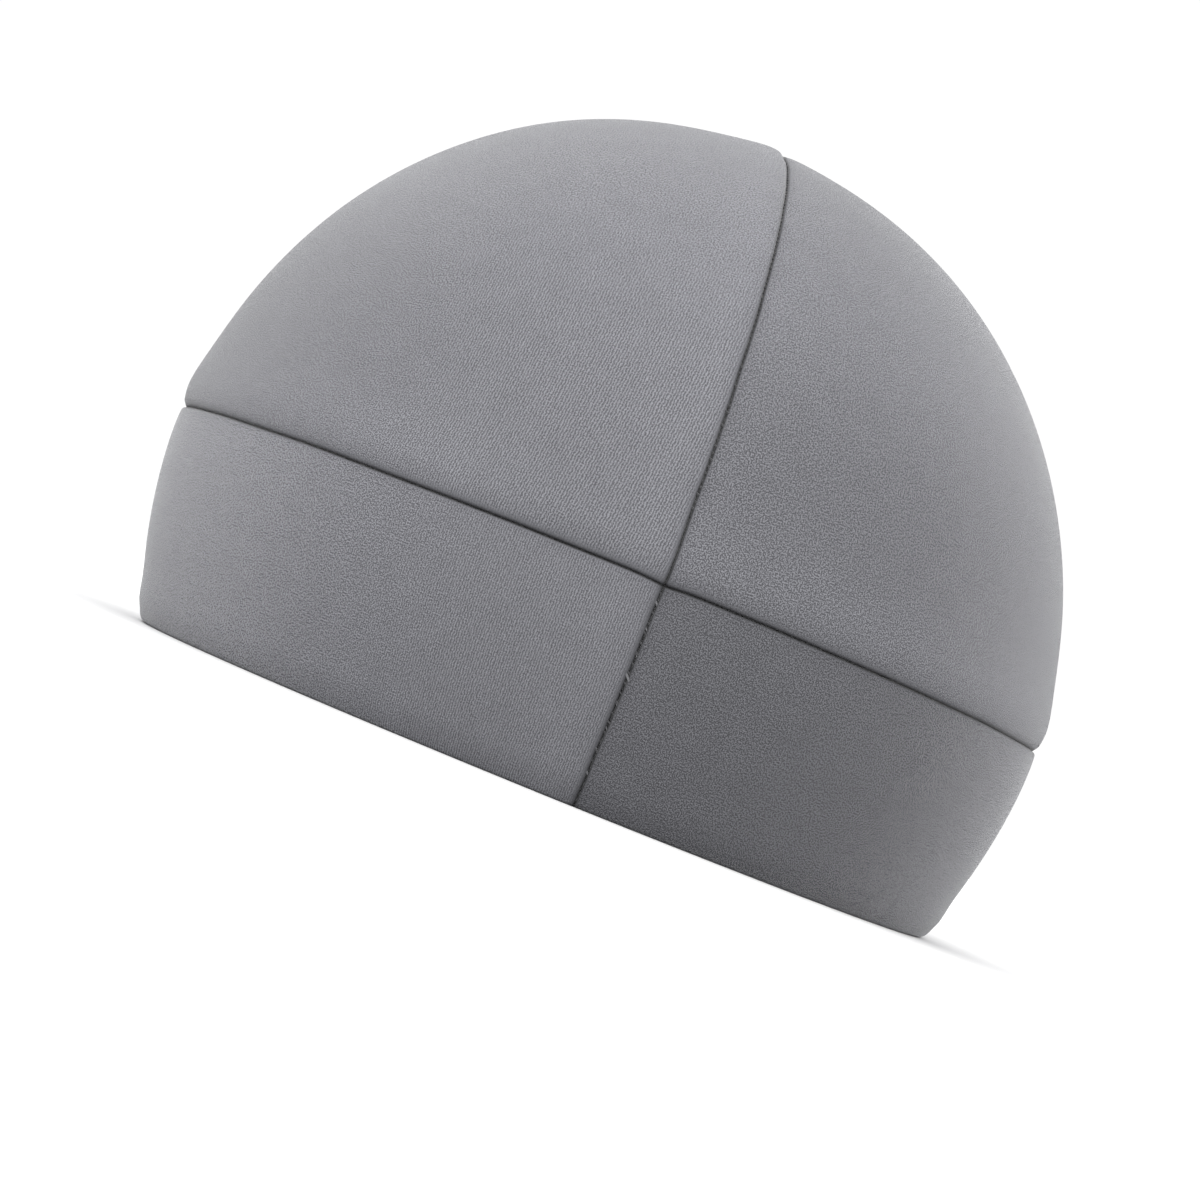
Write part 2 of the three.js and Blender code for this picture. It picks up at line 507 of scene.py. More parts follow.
@dataclass
class Cloth:
    """Vertices of a piece of cloth, with their place on the flat cloth and their attributes."""

    points: np.ndarray
    weave: np.ndarray
    attributes: dict[str, np.ndarray]

    def mesh_object(self, name: str, quads: np.ndarray, is_inner: np.ndarray) -> bpy.types.Object:
        """Object from quads, where a quad that lost a corner at the apex becomes a triangle.

        Args:
            name: name of the object and its mesh.
            quads: four vertex numbers for each face.
            is_inner: true for each face that takes the finish of the cloth's inside.

        Returns:
            The new object, linked to the scene.
        """
        faces, finishes = [], []
        for quad, inner in zip(quads.tolist(), is_inner.tolist()):
            corners = [v for k, v in enumerate(quad) if v != quad[k - 1]]
            if len(set(corners)) >= 3:
                faces.append(corners)
                finishes.append(int(inner))
        used = sorted({v for face in faces for v in face})
        renumber = {old: new for new, old in enumerate(used)}
        faces = [[renumber[v] for v in face] for face in faces]
        mesh = bpy.data.meshes.new(name)
        mesh.from_pydata(self.points[used].tolist(), [], faces)
        mesh.polygons.foreach_set("material_index", finishes)
        loops = np.empty(len(mesh.loops), dtype=np.int32)
        mesh.loops.foreach_get("vertex_index", loops)
        layer = mesh.uv_layers.new(name="weave")
        layer.data.foreach_set("uv", self.weave[used][loops].astype(np.float32).ravel())
        for label, values in self.attributes.items():
            attribute = mesh.attributes.new(label, "FLOAT", "POINT")
            attribute.data.foreach_set("value", values[used].astype(np.float32))
        return linked_object(name, mesh)


def sheet_quads(ids: np.ndarray) -> np.ndarray:
    """Quads of a grid of vertex numbers, facing out where rows climb and columns turn left."""
    corners = [ids[:-1, :-1], ids[:-1, 1:], ids[1:, 1:], ids[1:, :-1]]
    return np.stack(corners, axis=-1).reshape(-1, 4)


def linked_object(name: str, mesh: bpy.types.Mesh) -> bpy.types.Object:
    """Smooth-shaded object at the origin, in the scene, with its sharp edges kept.

    Args:
        name: name of the object.
        mesh: its mesh.

    Returns:
        The new object.
    """
    mesh.validate()
    mesh.shade_smooth()
    mesh.set_sharp_from_angle(angle=SHARP_ANGLE)
    piece = bpy.data.objects.new(name, mesh)
    bpy.context.scene.collection.objects.link(piece)
    return piece


def dressed(piece: bpy.types.Object, *finishes: bpy.types.Material) -> bpy.types.Object:
    """The piece with its finishes, in the order of its faces' numbers.

    Args:
        piece: an object without materials.
        finishes: its materials.

    Returns:
        The same object.
    """
    for finish in finishes:
        piece.data.materials.append(finish)
    return piece


def spread_columns(
    near_start: np.ndarray,
    near_end: np.ndarray,
    reach: np.ndarray,
    span: tuple[float, float],
    wide: int,
) -> np.ndarray:
    """Angles of a sweep's columns, close together beside the seams at its two ends.

    Args:
        near_start: distances of the first columns from the seam at the start.
        near_end: the same for the last columns, counted from the seam at the end.
        reach: radius of each row, as a column.
        span: angles of the two seams.
        wide: number of columns between the close ones.

    Returns:
        One row of angles for each radius.
    """
    first = span[0] + near_start / reach
    last = span[1] - near_end[::-1] / reach
    steps = np.arange(1, wide + 1) / (wide + 1)
    middle = first[:, -1:] + (last[:, :1] - first[:, -1:]) * steps
    return np.concatenate([first, middle, last], axis=1)


def lengths_along(line: np.ndarray) -> np.ndarray:
    """Length of a line from its start up to each of its points."""
    return np.concatenate([[0], np.cumsum(np.linalg.norm(np.diff(line, axis=0), axis=1))])


def points_along(line: np.ndarray, at: np.ndarray) -> np.ndarray:
    """Points of a line at given lengths from its start."""
    run = lengths_along(line)
    return np.stack([np.interp(at, run, column) for column in line.T], axis=1)


# Finishes


class Nodes:
    """Small helper that fills one node tree."""

    def __init__(self, tree: bpy.types.NodeTree) -> None:
        """Empties the tree and keeps it."""
        self.tree = tree
        tree.nodes.clear()

    def add(self, kind: str, settings: dict | None = None, **inputs: object) -> bpy.types.Node:
        """Adds a node.

        Args:
            kind: the node's type name.
            settings: properties of the node itself.
            inputs: values or output sockets by input name, with _ for a space.

        Returns:
            The new node.
        """
        node = self.tree.nodes.new(kind)
        for name, value in (settings or {}).items():
            setattr(node, name, value)
        for name, value in inputs.items():
            self.feed(node.inputs[name.replace("_", " ")], value)
        return node

    def feed(self, socket: bpy.types.NodeSocket, value: object) -> None:
        """Links an output socket to an input, or sets the input's value.

        Args:
            socket: the input.
            value: an output socket or a plain value.
        """
        if isinstance(value, bpy.types.NodeSocket):
            self.tree.links.new(value, socket)
        else:
            socket.default_value = value

    def maths(self, operation: str, *values: object) -> bpy.types.NodeSocket:
        """Adds a Math node.

        Args:
            operation: what it does.
            values: one to three numbers or output sockets.

        Returns:
            The socket of its result.
        """
        node = self.tree.nodes.new("ShaderNodeMath")
        node.operation = operation
        for socket, value in zip(node.inputs, values):
            self.feed(socket, value)
        return node.outputs[0]

    def blend(self, factor: object, first: object, second: object) -> bpy.types.NodeSocket:
        """Adds a Mix node for colours.

        Args:
            factor: share of the second colour, as a number or an output socket.
            first: the first colour.
            second: the second colour.

        Returns:
            The socket of the mixed colour.
        """
        node = self.tree.nodes.new("ShaderNodeMix")
        node.data_type = "RGBA"
        for name, value in (("Factor", factor), ("A", first), ("B", second)):
            sockets = [s for s in node.inputs if s.name == name and s.enabled]
            self.feed(sockets[0], value)
        return next(s for s in node.outputs if s.enabled)


def new_material(name: str) -> tuple[bpy.types.Material, Nodes]:
    """A new material with its emptied nodes.

    Args:
        name: name of the material.

    Returns:
        The material and its nodes.
    """
    material = bpy.data.materials.new(name)
    material.use_nodes = True
    return material, Nodes(material.node_tree)


@dataclass(frozen=True)
class JerseyFinish:
    """Fine jersey knit: wales beside the centre seam, and short loose loops further round.

    least_clear and clear_range say how strongly the knit shows from patch to patch, and flattened
    how much of it vanishes where the cloth is pressed.
    """

    name: str
    dark: tuple[float, float, float] = (0.105, 0.105, 0.115)
    light: tuple[float, float, float] = (0.285, 0.286, 0.310)
    wale: float = 0.47 * MM
    wale_height: float = 1.5
    grain_angle: float = 0.0
    wale_share: float = 0.6
    least_wales: float = 0.0
    wobble: float = 3.0
    wobble_size: float = 1.9
    contrast: float = 0.85
    patch: float = 3.0 * MM
    least_clear: float = 0.6
    clear_range: float = 0.7
    flattened: float = 0.8
    loop: float = 0.235 * MM
    loop_contrast: float = 5.6
    mottle: float = 0.1
    mottle_size: float = 5 * MM
    mottle_roughness: float = 0.62
    roughness: float = 0.88
    specular: float = 0.2
    sheen: float = 0.6
    sheen_roughness: float = 0.28
    bump: float = 0.55
    bump_height: float = 0.22 * MM

    def material(self) -> bpy.types.Material:
        """Material of the finish.

        Returns:
            The new material, which reads the UV map "weave", and the attributes "tone",
            "wales" and "pressed".
        """
        material, nodes = new_material(self.name)
        flat = nodes.add("ShaderNodeUVMap", {"uv_map": "weave"}).outputs[0]
        height = self._knit(nodes, flat)
        mottle = nodes.add(
            "ShaderNodeTexNoise",
            Vector=flat,
            Scale=1 / self.mottle_size,
            Detail=4.0,
            Roughness=self.mottle_roughness,
        )
        shade = nodes.maths("MULTIPLY_ADD", mottle.outputs[0], 2 * self.mottle, 1 - self.mottle)
        # tone brings the mesh's painted shade and highlights into the colour.
        shade = nodes.maths("MULTIPLY", shade, self._stored(nodes, "tone"))
        colour = nodes.blend(height, (*self.dark, 1), (*self.light, 1))
        grey = nodes.add("ShaderNodeVectorMath", {"operation": "SCALE"}, Scale=shade)
        nodes.feed(grey.inputs[0], colour)
        bump = nodes.add(
            "ShaderNodeBump", Height=height, Strength=self.bump, Distance=self.bump_height
        )
        shader = nodes.add(
            "ShaderNodeBsdfPrincipled",
            Base_Color=grey.outputs[0],
            Normal=bump.outputs[0],
            Roughness=self.roughness,
            Specular_IOR_Level=self.specular,
            Sheen_Weight=self.sheen,
            Sheen_Roughness=self.sheen_roughness,
        )
        nodes.add("ShaderNodeOutputMaterial", Surface=shader.outputs[0])
        return material

    def _knit(self, nodes: Nodes, flat: bpy.types.NodeSocket) -> bpy.types.NodeSocket:
        """Height of the knit between 0 and 1.

        Args:
            nodes: the material's nodes.
            flat: place on the flat cloth, across from the seam and along it.

        Returns:
            Wales that fade into loose loops away from the seam.
        """
        turn = (0, 0, self.grain_angle)
        turned = nodes.add("ShaderNodeMapping", Vector=flat, Rotation=turn).outputs[0]
        wales = nodes.maths("MULTIPLY", self._ribs(nodes, turned), self.wale_height)
        share = nodes.maths("MULTIPLY", self._stored(nodes, "wales"), self.wale_share)
        share = nodes.maths("MAXIMUM", share, self.least_wales)
        loops = nodes.add("ShaderNodeTexNoise", Vector=turned, Scale=1 / self.loop, Detail=0.0)
        middle = -self.loop_contrast / 2
        loops = nodes.maths("MULTIPLY_ADD", loops.outputs[0], self.loop_contrast, middle)
        gap = nodes.maths("SUBTRACT", wales, loops)
        total = nodes.maths("MULTIPLY_ADD", gap, share, loops)
        patches = nodes.add("ShaderNodeTexNoise", Vector=flat, Scale=1 / self.patch, Detail=1.0)
        clear = nodes.maths("MULTIPLY_ADD", patches.outputs[0], self.clear_range, self.least_clear)
        open_ = nodes.maths("MULTIPLY_ADD", self._stored(nodes, "pressed"), -self.flattened, 1.0)
        clear = nodes.maths("MULTIPLY", nodes.maths("MULTIPLY", clear, open_), self.contrast)
        total = nodes.maths("MULTIPLY_ADD", total, clear, 0.5)
        return nodes.maths("MINIMUM", nodes.maths("MAXIMUM", total, 0.0), 1.0)

    def _ribs(self, nodes: Nodes, turned: bpy.types.NodeSocket) -> bpy.types.NodeSocket:
        """Wavering ribs along the cloth.

        Args:
            nodes: the material's nodes.
            turned: place on the flat cloth, turned by the angle of the grain.

        Returns:
            Height from -0.5 to 0.5. At a Scale of 1, the Wave texture has 10 waves in a length
            of pi.
        """
        ribs = nodes.add(
            "ShaderNodeTexWave",
            Vector=turned,
            Scale=math.pi / 10 / self.wale,
            Distortion=self.wobble,
            Detail=1.0,
            Detail_Scale=self.wobble_size,
        )
        return nodes.maths("SUBTRACT", ribs.outputs["Fac"], 0.5)

    def _stored(self, nodes: Nodes, label: str) -> bpy.types.NodeSocket:
        """Value that the mesh stores under a label."""
        kind = {"attribute_name": label, "attribute_type": "GEOMETRY"}
        return nodes.add("ShaderNodeAttribute", kind).outputs["Fac"]


@dataclass(frozen=True)
class ThreadFinish:
    """Soft spun thread with a twist."""

    name: str
    dark: tuple[float, float, float] = (0.24, 0.242, 0.258)
    light: tuple[float, float, float] = (0.44, 0.444, 0.465)
    fibre: float = 0.12 * MM
    roughness: float = 0.8
    sheen: float = 0.4
    bump: float = 0.6
    bump_height: float = 0.05 * MM

    def material(self) -> bpy.types.Material:
        """Material of the thread.

        Returns:
            The new material, whose fibres lie on Object coordinates.
        """
        material, nodes = new_material(self.name)
        place = nodes.add("ShaderNodeTexCoord").outputs["Object"]
        spun = nodes.add("ShaderNodeTexNoise", Vector=place, Scale=1 / self.fibre, Detail=3.0)
        fibres = spun.outputs[0]
        colour = nodes.blend(fibres, (*self.dark, 1), (*self.light, 1))
        bump = nodes.add(
            "ShaderNodeBump", Height=fibres, Strength=self.bump, Distance=self.bump_height
        )
        shader = nodes.add(
            "ShaderNodeBsdfPrincipled",
            Base_Color=colour,
            Normal=bump.outputs[0],
            Roughness=self.roughness,
            Sheen_Weight=self.sheen,
        )
        nodes.add("ShaderNodeOutputMaterial", Surface=shader.outputs[0])
        return material


# Panels


@dataclass(frozen=True)
class NapAndPaintedShade:
    """Painted shade low beside the back seam; on the right half part of it is the knit's pile lying
    the other way.

    up fades it over the heights, and round over the degrees from the back seam.
    """

    share: float
    up: Fade = NO_FADE
    round: Fade = NO_FADE

    def at(self, height: np.ndarray, from_back: np.ndarray) -> np.ndarray:
        """Share of the light that the painted shade takes."""
        return self.share * self.up.left(height) * self.round.left(from_back)


@dataclass
class CrownPanel:
    """One half of the crown, from the band seam to the apex.

    The wales fade out round and up the cap, and stretching presses the knit flat there. The right
    half is cut against the knit's pile and is painted darker low beside the back seam, partly for
    the pile and partly as painted shade; the left half there is painted darker as shade.
    """

    side: Side
    form: HeadForm
    sewing: Sewing
    waves: ClothWaves
    row_step: float = math.radians(1.3)
    apex_radii: tuple[float, ...] = (12, 9.5, 7.2, 5.3, 3.8, 2.6, 1.7, 1.0, 0.5, 0)
    wide_columns: int = 62
    tightest_row: float = 16 * MM
    wales_round: Fade = Fade(34 * MM, 66 * MM)
    wales_up: Fade = Fade(72 * MM, 104 * MM, share=0.7)
    stretch_round: Fade = Fade(42 * MM, 66 * MM, share=0.5)
    stretch_up: Fade = Fade(62 * MM, 92 * MM, share=0.45)
    # Painted shade low beside the back seam; on the right half part of it is the pile lying the
    # other way.
    left_painted_shade: tuple[NapAndPaintedShade, ...] = (
        NapAndPaintedShade(0.07, up=Fade(60 * MM, 95 * MM)),
        NapAndPaintedShade(0.08, up=Fade(42 * MM, 62 * MM), round=Fade(12, 32)),
    )
    right_nap_and_shade: tuple[NapAndPaintedShade, ...] = (
        NapAndPaintedShade(0.25, up=Fade(60 * MM, 90 * MM, share=0.6), round=Fade(28, 80)),
    )
    weave_radius_share: float = 1.03
    weave_axis_height: float = 23.2 * MM

    @property
    def node(self) -> str:
        """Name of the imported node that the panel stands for."""
        return f"crown_{self.side.name.lower()}"

    def heights(self) -> np.ndarray:
        """Heights of the rows, close together at the seam and at the apex.

        Returns:
            The heights, from the band seam up.
        """
        low = self.sewing.crown_foot + self.sewing.crown_edge.steps()
        radii = np.array(self.apex_radii) * MM / self.form.half_width
        half_power = self.form.round_power / 2
        first = np.arccos(self.form.share(low[-1:], 1.0) ** half_power)[0]
        last = np.arccos(radii[0] ** half_power)
        turns = np.linspace(first, last, int((last - first) / self.row_step))[1:-1]
        middle = self.form.height_at(np.cos(turns) ** (1 / half_power))
        return np.concatenate([low, middle, self.form.height_at(radii)])

    def grid(self) -> ClothGrid:
        """Faces of the panel.

        Returns:
            Both faces, from the band seam to the apex and from seam to seam.
        """
        sewing, form = self.sewing, self.form
        side, foot = sewing.side_edge(self.side), sewing.crown_edge
        height = self.heights()[:, None]
        reach = np.maximum(form.half_width_at(height), self.tightest_row)
        start = -QUARTER if self.side is Side.RIGHT else QUARTER
        span = (start, start + math.pi)
        angle = spread_columns(side.steps(), side.steps(), reach, span, self.wide_columns)
        base, normal = form.points(angle, height), form.normals(angle, height)
        across = form.from_middle(base)
        from_seam = np.abs(across)
        from_band = np.broadcast_to(height - sewing.crown_foot, from_seam.shape)
        # tone paints shade beside both seams and a highlight on their puffs, and darkens the cloth
        # low beside the back seam as painted shade, on the right partly for the pile.
        attributes = {
            "tone": side.tone(from_seam) * foot.tone(from_band) * self.nap_and_shade(angle, base),
            "wales": self.wales_round.left(from_seam) * self.wales_up.left(base[..., 2]),
            "pressed": self.pressed(base[..., 2], from_seam, from_band),
        }
        dip = -np.hypot(side.turn_down(from_seam), foot.turn_down(from_band))
        swell = side.swell(from_seam) + foot.swell(from_band)
        loose = self.waves.lift(base, from_seam, sewing.pucker_pitch)
        ridge = sewing.inner_ridge(np.minimum(from_seam, from_band))
        base = form.points(angle, height + self.waves.drift(base, across, from_band))
        outer = base + normal * (dip + swell + loose)[..., None]
        inner = base + normal * (swell + loose + ridge - sewing.cloth)[..., None]
        shift = self.side.value * sewing.slack + self.waves.wander_of_seam(base, from_seam)
        outer[..., 0] += shift
        inner[..., 0] += shift
        return ClothGrid(outer, inner, self.weave(base), attributes)

    def pressed(
        self, height: np.ndarray, from_seam: np.ndarray, from_band: np.ndarray
    ) -> np.ndarray:
        """How flat the knit is pressed, by the seams or by stretching.

        Args:
            height: height of each point.
            from_seam: distance of each point from the centre seam.
            from_band: distance of each point from the band seam.

        Returns:
            A share for each point, 1 in the seams.
        """
        stretched = self.stretch_up.done(height) + self.stretch_round.done(from_seam)
        side, foot = self.sewing.side_edge(self.side), self.sewing.crown_edge
        return np.maximum(np.maximum(side.pressed(from_seam), foot.pressed(from_band)), stretched)

    def weave(self, points: np.ndarray) -> np.ndarray:
        """Place on the flat cloth.

        Args:
            points: points of the smooth form.

        Returns:
            Distance across from the centre seam, and along it.
        """
        radius = self.form.half_width * self.weave_radius_share
        across = self.form.from_middle(points)
        u = radius * np.arcsin(np.clip(across / radius, -1, 1))
        y = points[..., 1] - self.form.centre[1]
        v = radius * np.arctan2(y, points[..., 2] - self.weave_axis_height)
        return np.stack([u, v], axis=-1)

    def nap_and_shade(self, angle: np.ndarray, points: np.ndarray) -> np.ndarray:
        """Lightness low beside the back seam: painted shade on the left, and on the right partly
        the darker pile and partly painted shade.

        Args:
            angle: direction of each point, seen from above.
            points: points of the smooth form.

        Returns:
            The share of the light that each point keeps.
        """
        from_back = np.abs((np.degrees(angle) + 270) % 360 - 180)
        shades = self.left_painted_shade if self.side is Side.LEFT else self.right_nap_and_shade
        return 1 - sum(shade.at(points[..., 2], from_back) for shade in shades)

    def build(self, face: bpy.types.Material, inside: bpy.types.Material) -> bpy.types.Object:
        """The panel, dressed in the finishes of its face and its inside."""
        return dressed(self.grid().mesh_object(f"{self.node}_cloth"), face, inside)


@dataclass
class Band:
    """The band: a ring of cloth with its seam at the back and its hem turned up inside.

    outer_skin, seen_skin and fold_skin are shares of the outer face's relief: the face outside
    has more than the first, the finish changes at the second, and the fold begins at the third.
    """

    form: HeadForm
    sewing: Sewing
    waves: ClothWaves
    row_step: float = 1.6 * MM
    wide_columns: int = 230
    inner_rows: int = 20
    facing_rows: int = 12
    slit_rows: int = 6
    groove: float = 1.0 * MM
    hem_roll: float = 0.5 * MM
    hem_roll_height: float = 3.5 * MM
    hem_roll_reach: float = 3 * MM
    fold_lift: float = 1.3 * MM
    fold_steps: int = 12
    fold_bend: float = 0.7
    outer_skin: float = 0.9
    seen_skin: float = 0.4
    fold_skin: float = 0.1
    # Painted highlight on the fold's edge, and painted shade just above it.
    fold_highlight: float = 0.22
    fold_highlight_reach: float = 0.7 * MM
    fold_shade: float = 0.1
    fold_shade_height: float = 2.2 * MM
    fold_shade_reach: float = MM
    wales_round: Fade = Fade(24 * MM, 56 * MM)
    right_wales: float = 0.2
    # The band's ends are painted darker beside the back seam: the left as shade, the right partly
    # for the pile and partly as shade.
    right_nap_and_shade: NapAndPaintedShade = NapAndPaintedShade(0.44, round=Fade(36, 80))
    left_painted_shade: NapAndPaintedShade = NapAndPaintedShade(0.17, round=Fade(14, 70))

    def profile(self) -> np.ndarray:
        """Section of the band as a closed loop.

        Returns:
            Rows of inset, height and share of the outer face's relief, climbing the outer wall.
        """
        sewing = self.sewing
        top, foot = sewing.band_top, 2 * self.fold_lift
        near_top = top - sewing.band_edge.steps()
        wall = np.arange(near_top[-1] - self.row_step, foot, -self.row_step)
        half = sewing.facing / 2
        loop = [(0.0, h, 1.0) for h in np.concatenate([near_top, wall])[::-1]]
        for inset, low, high, rows in (
            (sewing.cloth, foot, top, self.inner_rows),
            (sewing.cloth + sewing.hem_slit, sewing.hem_height, foot, self.slit_rows),
            (sewing.facing, self.fold_lift, sewing.hem_height, self.facing_rows),
        ):
            loop += [(inset, h, 0.0) for h in np.linspace(low, high, rows)[::-1]]
        for turn in np.linspace(0, math.pi, self.fold_steps)[1:]:
            height = self.fold_lift * (1 - math.sin(turn) ** self.fold_bend)
            loop.append((half + half * math.cos(turn), height, 0.5 - 0.5 * math.cos(turn)))
        return np.array(loop)

    def cloth(self) -> Cloth:
        """Points of the band.

        Returns:
            A row of points for each point of the section, with a column for each angle.
        """
        form, sewing = self.form, self.sewing
        inset, height, skin = (column[:, None] for column in self.profile().T)
        near_right = np.concatenate([[0], sewing.right_edge.steps()])
        near_left = sewing.strip_edge.steps()
        span = (-QUARTER, 3 * QUARTER)
        reach = form.half_width_at(height)
        angle = spread_columns(near_right, near_left, reach, span, self.wide_columns)
        base = form.points(angle, height)
        across = form.from_middle(base)
        is_back = np.sin(angle) < 0
        from_seam = np.where(is_back, np.abs(across), form.front_depth)
        from_top = np.broadcast_to(sewing.band_top - height, from_seam.shape)
        turn = self._beside(SeamRoll.turn_down, across, from_seam)
        turn[:, 0] = -self.groove
        dip = -np.hypot(turn, sewing.band_edge.turn_down(np.maximum(from_top, 0)))
        swell = self._beside(SeamRoll.swell, across, from_seam) + sewing.band_edge.swell(from_top)
        roll = self.hem_roll * bell(height - self.hem_roll_height, self.hem_roll_reach)
        loose = self.waves.lift(base, from_seam, sewing.pucker_pitch) + roll
        ridge = sewing.inner_ridge(np.minimum(from_seam, from_top))
        lift = swell + loose + skin * dip + (1 - skin) * ridge - inset
        drift = self.waves.drift(base, np.where(is_back, across, form.front_depth), from_top)
        points = form.points(angle, height + drift)
        points += form.level_normals(angle, height) * lift[..., None]
        points[..., 0] += self.waves.wander_of_seam(base, from_seam)
        points[:, :2, 0] += sewing.slack
        points[:, -1, 0] -= sewing.slack
        # Painted shade and highlights beside the back seam and under the band's top, and the ends'
        # darker tone, partly pile and partly painted shade.
        tone = self._beside(SeamRoll.tone, across, from_seam) * self.nap_and_shade(angle, height)
        tone = tone * np.where(skin > self.outer_skin, sewing.band_edge.tone(from_top), 1)
        pressed = self._beside(SeamRoll.pressed, across, from_seam)
        attributes = {
            "tone": tone * self.fold_tone(height, skin),
            "wales": self.wales_round.left(from_seam) * np.where(across > 0, self.right_wales, 1),
            "pressed": np.maximum(pressed, sewing.band_edge.pressed(from_top)),
        }
        attributes = {label: values.ravel() for label, values in attributes.items()}
        return Cloth(points.reshape(-1, 3), self.weave(angle, height).reshape(-1, 2), attributes)

    def _beside(
        self, measure: Callable[..., np.ndarray], across: np.ndarray, from_seam: np.ndarray
    ) -> np.ndarray:
        """A measure of the edge's roll on either side of the back seam.

        Args:
            measure: method of SeamRoll that takes a distance.
            across: signed distance of each point from the middle plane.
            from_seam: distance of each point from the back seam.

        Returns:
            The measure of the strip's right end or of its left end at each point.
        """
        right, left = self.sewing.right_edge, self.sewing.strip_edge
        return np.where(across > 0, measure(right, from_seam), measure(left, from_seam))

    def weave(self, angle: np.ndarray, height: np.ndarray) -> np.ndarray:
        """Place on the flat strip.

        Args:
            angle: direction of each point, seen from above.
            height: height of each row, as a column.

        Returns:
            Signed distance round from the middle of the front, and height.
        """
        mean_radius = (self.form.half_width * 2 + self.form.front_depth + self.form.back_depth) / 4
        u = (angle - QUARTER) * mean_radius
        return np.stack(np.broadcast_arrays(u, height), axis=-1)

    def fold_tone(self, height: np.ndarray, skin: np.ndarray) -> np.ndarray:
        """Lightness near the hem's fold: a painted highlight on its edge under a painted soft
        shade.

        Args:
            height: height of each row.
            skin: share of the outer face's relief in each row.

        Returns:
            The share of the cloth's own lightness in each row.
        """
        # Painted highlight at the fold's edge, painted shade a little above it.
        edge = self.fold_highlight * bell(height, self.fold_highlight_reach)
        shade = self.fold_shade * bell(height - self.fold_shade_height, self.fold_shade_reach)
        return 1 + (edge - shade) * (skin > self.fold_skin)

    def nap_and_shade(self, angle: np.ndarray, height: np.ndarray) -> np.ndarray:
        """Lightness beside the back seam: the right end painted darker partly for its pile and
        partly as shade, the left end painted darker as shade.

        Args:
            angle: direction of each point, seen from above.
            height: height of each row, as a column.

        Returns:
            The share of the light that each point keeps.
        """
        from_back = np.degrees(angle) + 90
        right = self.right_nap_and_shade.at(height, from_back)
        return 1 - right - self.left_painted_shade.at(height, 360 - from_back)

    def build(self, face: bpy.types.Material, inside: bpy.types.Material) -> bpy.types.Object:
        """The band, dressed in its finishes.

        Args:
            face: finish of the outer face and of the hem's fold.
            inside: finish of the rest.

        Returns:
            The band as one closed piece.
        """
        cloth, profile = self.cloth(), self.profile()
        ids = np.arange(len(cloth.points)).reshape(len(profile), -1)
        ids = np.pad(ids, ((0, 1), (0, 1)), mode="wrap")
        is_inner = np.repeat(profile[:, 2] < self.seen_skin, ids.shape[1] - 1)
        return dressed(cloth.mesh_object("band_cloth", sheet_quads(ids), is_inner), face, inside)


# Threads


class ThreadShape(Enum):
    """Threads of one stitch: variants that take turns by chance, each made of Bezier segments.

    Each control point is a share of the stitch's length, width and bow.
    """

    OVERLOCK = (
        (
            ((-0.45, 0.5, 0.0), (-0.2, 0.54, 0.5), (0.2, 0.53, 0.5), (0.42, 0.48, 0.2)),
            ((0.42, 0.48, 0.2), (0.64, 0.24, 0.9), (0.56, -0.25, 1.2), (0.2, -0.42, 0.7)),
            ((0.2, -0.42, 0.7), (0.05, -0.5, 0.7), (-0.12, -0.52, 0.5), (-0.28, -0.44, 0.2)),
            ((0.38, 0.46, 0.4), (0.1, 0.2, 1.1), (-0.08, -0.1, 1.3), (0.14, -0.42, 0.4)),
            ((-0.5, -0.5, 0.0), (-0.2, -0.54, 0.6), (0.2, -0.52, 0.6), (0.46, -0.5, 0.0)),
        ),
        (
            ((-0.47, 0.52, 0.0), (-0.2, 0.53, 0.5), (0.2, 0.48, 0.5), (0.4, 0.45, 0.2)),
            ((0.4, 0.45, 0.2), (0.3, 0.2, 1.3), (0.55, -0.1, 1.1), (0.06, -0.45, 0.5)),
            ((0.42, 0.46, 0.3), (0.3, 0.06, 0.7), (-0.32, -0.1, 1.3), (-0.14, -0.46, 0.4)),
            ((-0.46, -0.47, 0.0), (-0.2, -0.55, 0.6), (0.1, -0.56, 0.6), (0.34, -0.5, 0.0)),
        ),
        (
            ((-0.42, 0.49, 0.0), (-0.2, 0.5, 0.5), (0.2, 0.54, 0.5), (0.45, 0.5, 0.2)),
            ((0.45, 0.5, 0.2), (0.86, 0.3, 0.8), (0.28, 0.0, 1.4), (0.46, -0.42, 0.5)),
            ((0.46, -0.42, 0.5), (0.42, -0.54, 0.6), (0.2, -0.54, 0.5), (-0.02, -0.45, 0.2)),
            ((0.36, 0.42, 0.4), (0.24, 0.16, 1.1), (-0.1, 0.12, 1.1), (-0.24, -0.24, 0.9)),
            ((-0.5, -0.52, 0.0), (-0.3, -0.5, 0.6), (0.1, -0.48, 0.6), (0.4, -0.52, 0.0)),
        ),
    )
    LADDER = ((((0.0, -0.5, -0.4), (0.1, -0.2, 0.6), (0.2, 0.2, 0.6), (0.3, 0.5, -0.4)),),)


